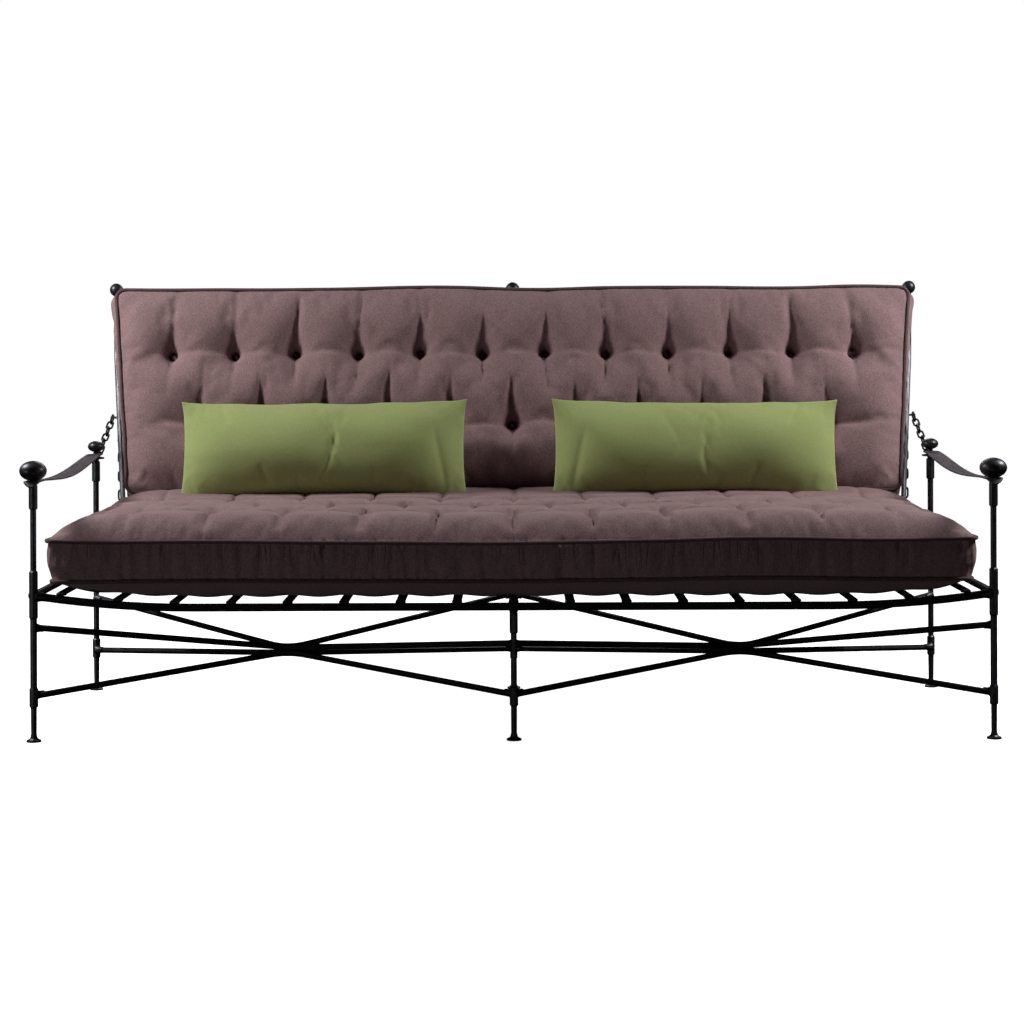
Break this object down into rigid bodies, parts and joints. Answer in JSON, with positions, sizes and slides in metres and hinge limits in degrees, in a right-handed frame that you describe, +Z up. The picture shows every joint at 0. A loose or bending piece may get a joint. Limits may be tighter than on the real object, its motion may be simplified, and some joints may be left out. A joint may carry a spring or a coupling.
{
  "type": "daybed",
  "caption": "Slim iron daybed with leather sling arms, ball finials, slatted deck, a reclining back on chains, buttoned cushions and lumbar pillows.",
  "frame": {"origin": "on the floor, under the middle of the whole object's box", "axes": "+X along the seat towards the sitter's left, the front faces -Y, +Z up"},
  "size_m": [2.098, 1.044, 1],
  "materials": {
    "black_iron": "satin black, slightly uneven hand finish",
    "bright_iron": "dark iron rubbed bright",
    "leather": "dark brown saddle leather, waxed",
    "plum_linen": "mauve-brown linen weave",
    "green_cloth": "yellow-green plain cotton weave"
  },
  "bodies": {
    "frame": {"arm_strap_left": "leather", "arm_strap_right": "leather", "chain_ring_left": "black_iron", "chain_ring_right": "black_iron", "finial_front_left": "black_iron", "finial_front_right": "black_iron", "finial_rear_left": "black_iron", "finial_rear_right": "black_iron", "front_rail": "black_iron", "leg_front_centre": "black_iron", "leg_front_left": "black_iron", "leg_front_right": "black_iron", "leg_rear_centre": "black_iron", "leg_rear_left": "black_iron", "leg_rear_right": "black_iron", "rear_rail": "black_iron", "seat_cushion": "plum_linen", "side_rail_left": "black_iron", "side_rail_right": "black_iron", "slat_01": "black_iron", "slat_02": "black_iron", "slat_03": "black_iron", "slat_04": "black_iron", "slat_05": "black_iron", "slat_06": "black_iron", "slat_07": "black_iron", "slat_08": "black_iron", "slat_09": "black_iron", "slat_10": "black_iron", "slat_11": "black_iron", "slat_12": "black_iron", "slat_13": "black_iron", "slat_14": "black_iron", "slat_15": "black_iron", "slat_16": "black_iron", "slat_17": "black_iron", "stretcher_front_high_left": "black_iron", "stretcher_front_high_right": "black_iron", "stretcher_front_low_left": "black_iron", "stretcher_front_low_right": "black_iron", "stretcher_rear_high_left": "black_iron", "stretcher_rear_high_right": "black_iron", "stretcher_rear_low_left": "black_iron", "stretcher_rear_low_right": "black_iron"},
    "backrest": {"back_upright_left": "bright_iron", "back_upright_right": "bright_iron", "back_upright_centre": "black_iron", "back_pivot_bar": "black_iron", "back_rail_top": "black_iron", "back_rail_mid": "black_iron", "back_ball_left": "black_iron", "back_ball_right": "black_iron", "back_ball_centre": "black_iron", "back_cushion": "plum_linen", "pillow_left": "green_cloth", "pillow_right": "green_cloth"},
    "chain_run_left": {"chain_run_left": "black_iron"},
    "chain_tail_left": {"chain_tail_left": "black_iron"},
    "chain_run_right": {"chain_run_right": "black_iron"},
    "chain_tail_right": {"chain_tail_right": "black_iron"}
  },
  "joints": [
    {"name": "back_recline", "type": "hinge", "parent": "frame", "child": "backrest", "pos_m": [0, 0.2795, 0.335], "axis": [-1, 0, 0], "range_deg": [0, 70]},
    {"name": "chain_run_swing_left", "type": "hinge", "parent": "frame", "child": "chain_run_left", "pos_m": [-1.02, 0.2817, 0.566], "axis": [-1, 0, 0], "range_deg": [0, 74]},
    {"name": "chain_tail_swing_left", "type": "hinge", "parent": "backrest", "child": "chain_tail_left", "pos_m": [-0.98523, 0.3781, 0.67591], "axis": [-0.8166, 0.2948, 0.4963], "range_deg": [0, 66]},
    {"name": "chain_run_swing_right", "type": "hinge", "parent": "frame", "child": "chain_run_right", "pos_m": [1.02, 0.2817, 0.566], "axis": [-1, 0, 0], "range_deg": [0, 74]},
    {"name": "chain_tail_swing_right", "type": "hinge", "parent": "backrest", "child": "chain_tail_right", "pos_m": [0.98523, 0.3781, 0.67591], "axis": [-0.8166, -0.2948, -0.4963], "range_deg": [0, 66]}
  ],
  "couplings": [
    {"joint": "chain_run_swing_left", "follows": "back_recline", "ratio": 1.0237},
    {"joint": "chain_tail_swing_left", "follows": "back_recline", "ratio": 0.9124},
    {"joint": "chain_run_swing_right", "follows": "back_recline", "ratio": 1.0237},
    {"joint": "chain_tail_swing_right", "follows": "back_recline", "ratio": 0.9124}
  ]
}
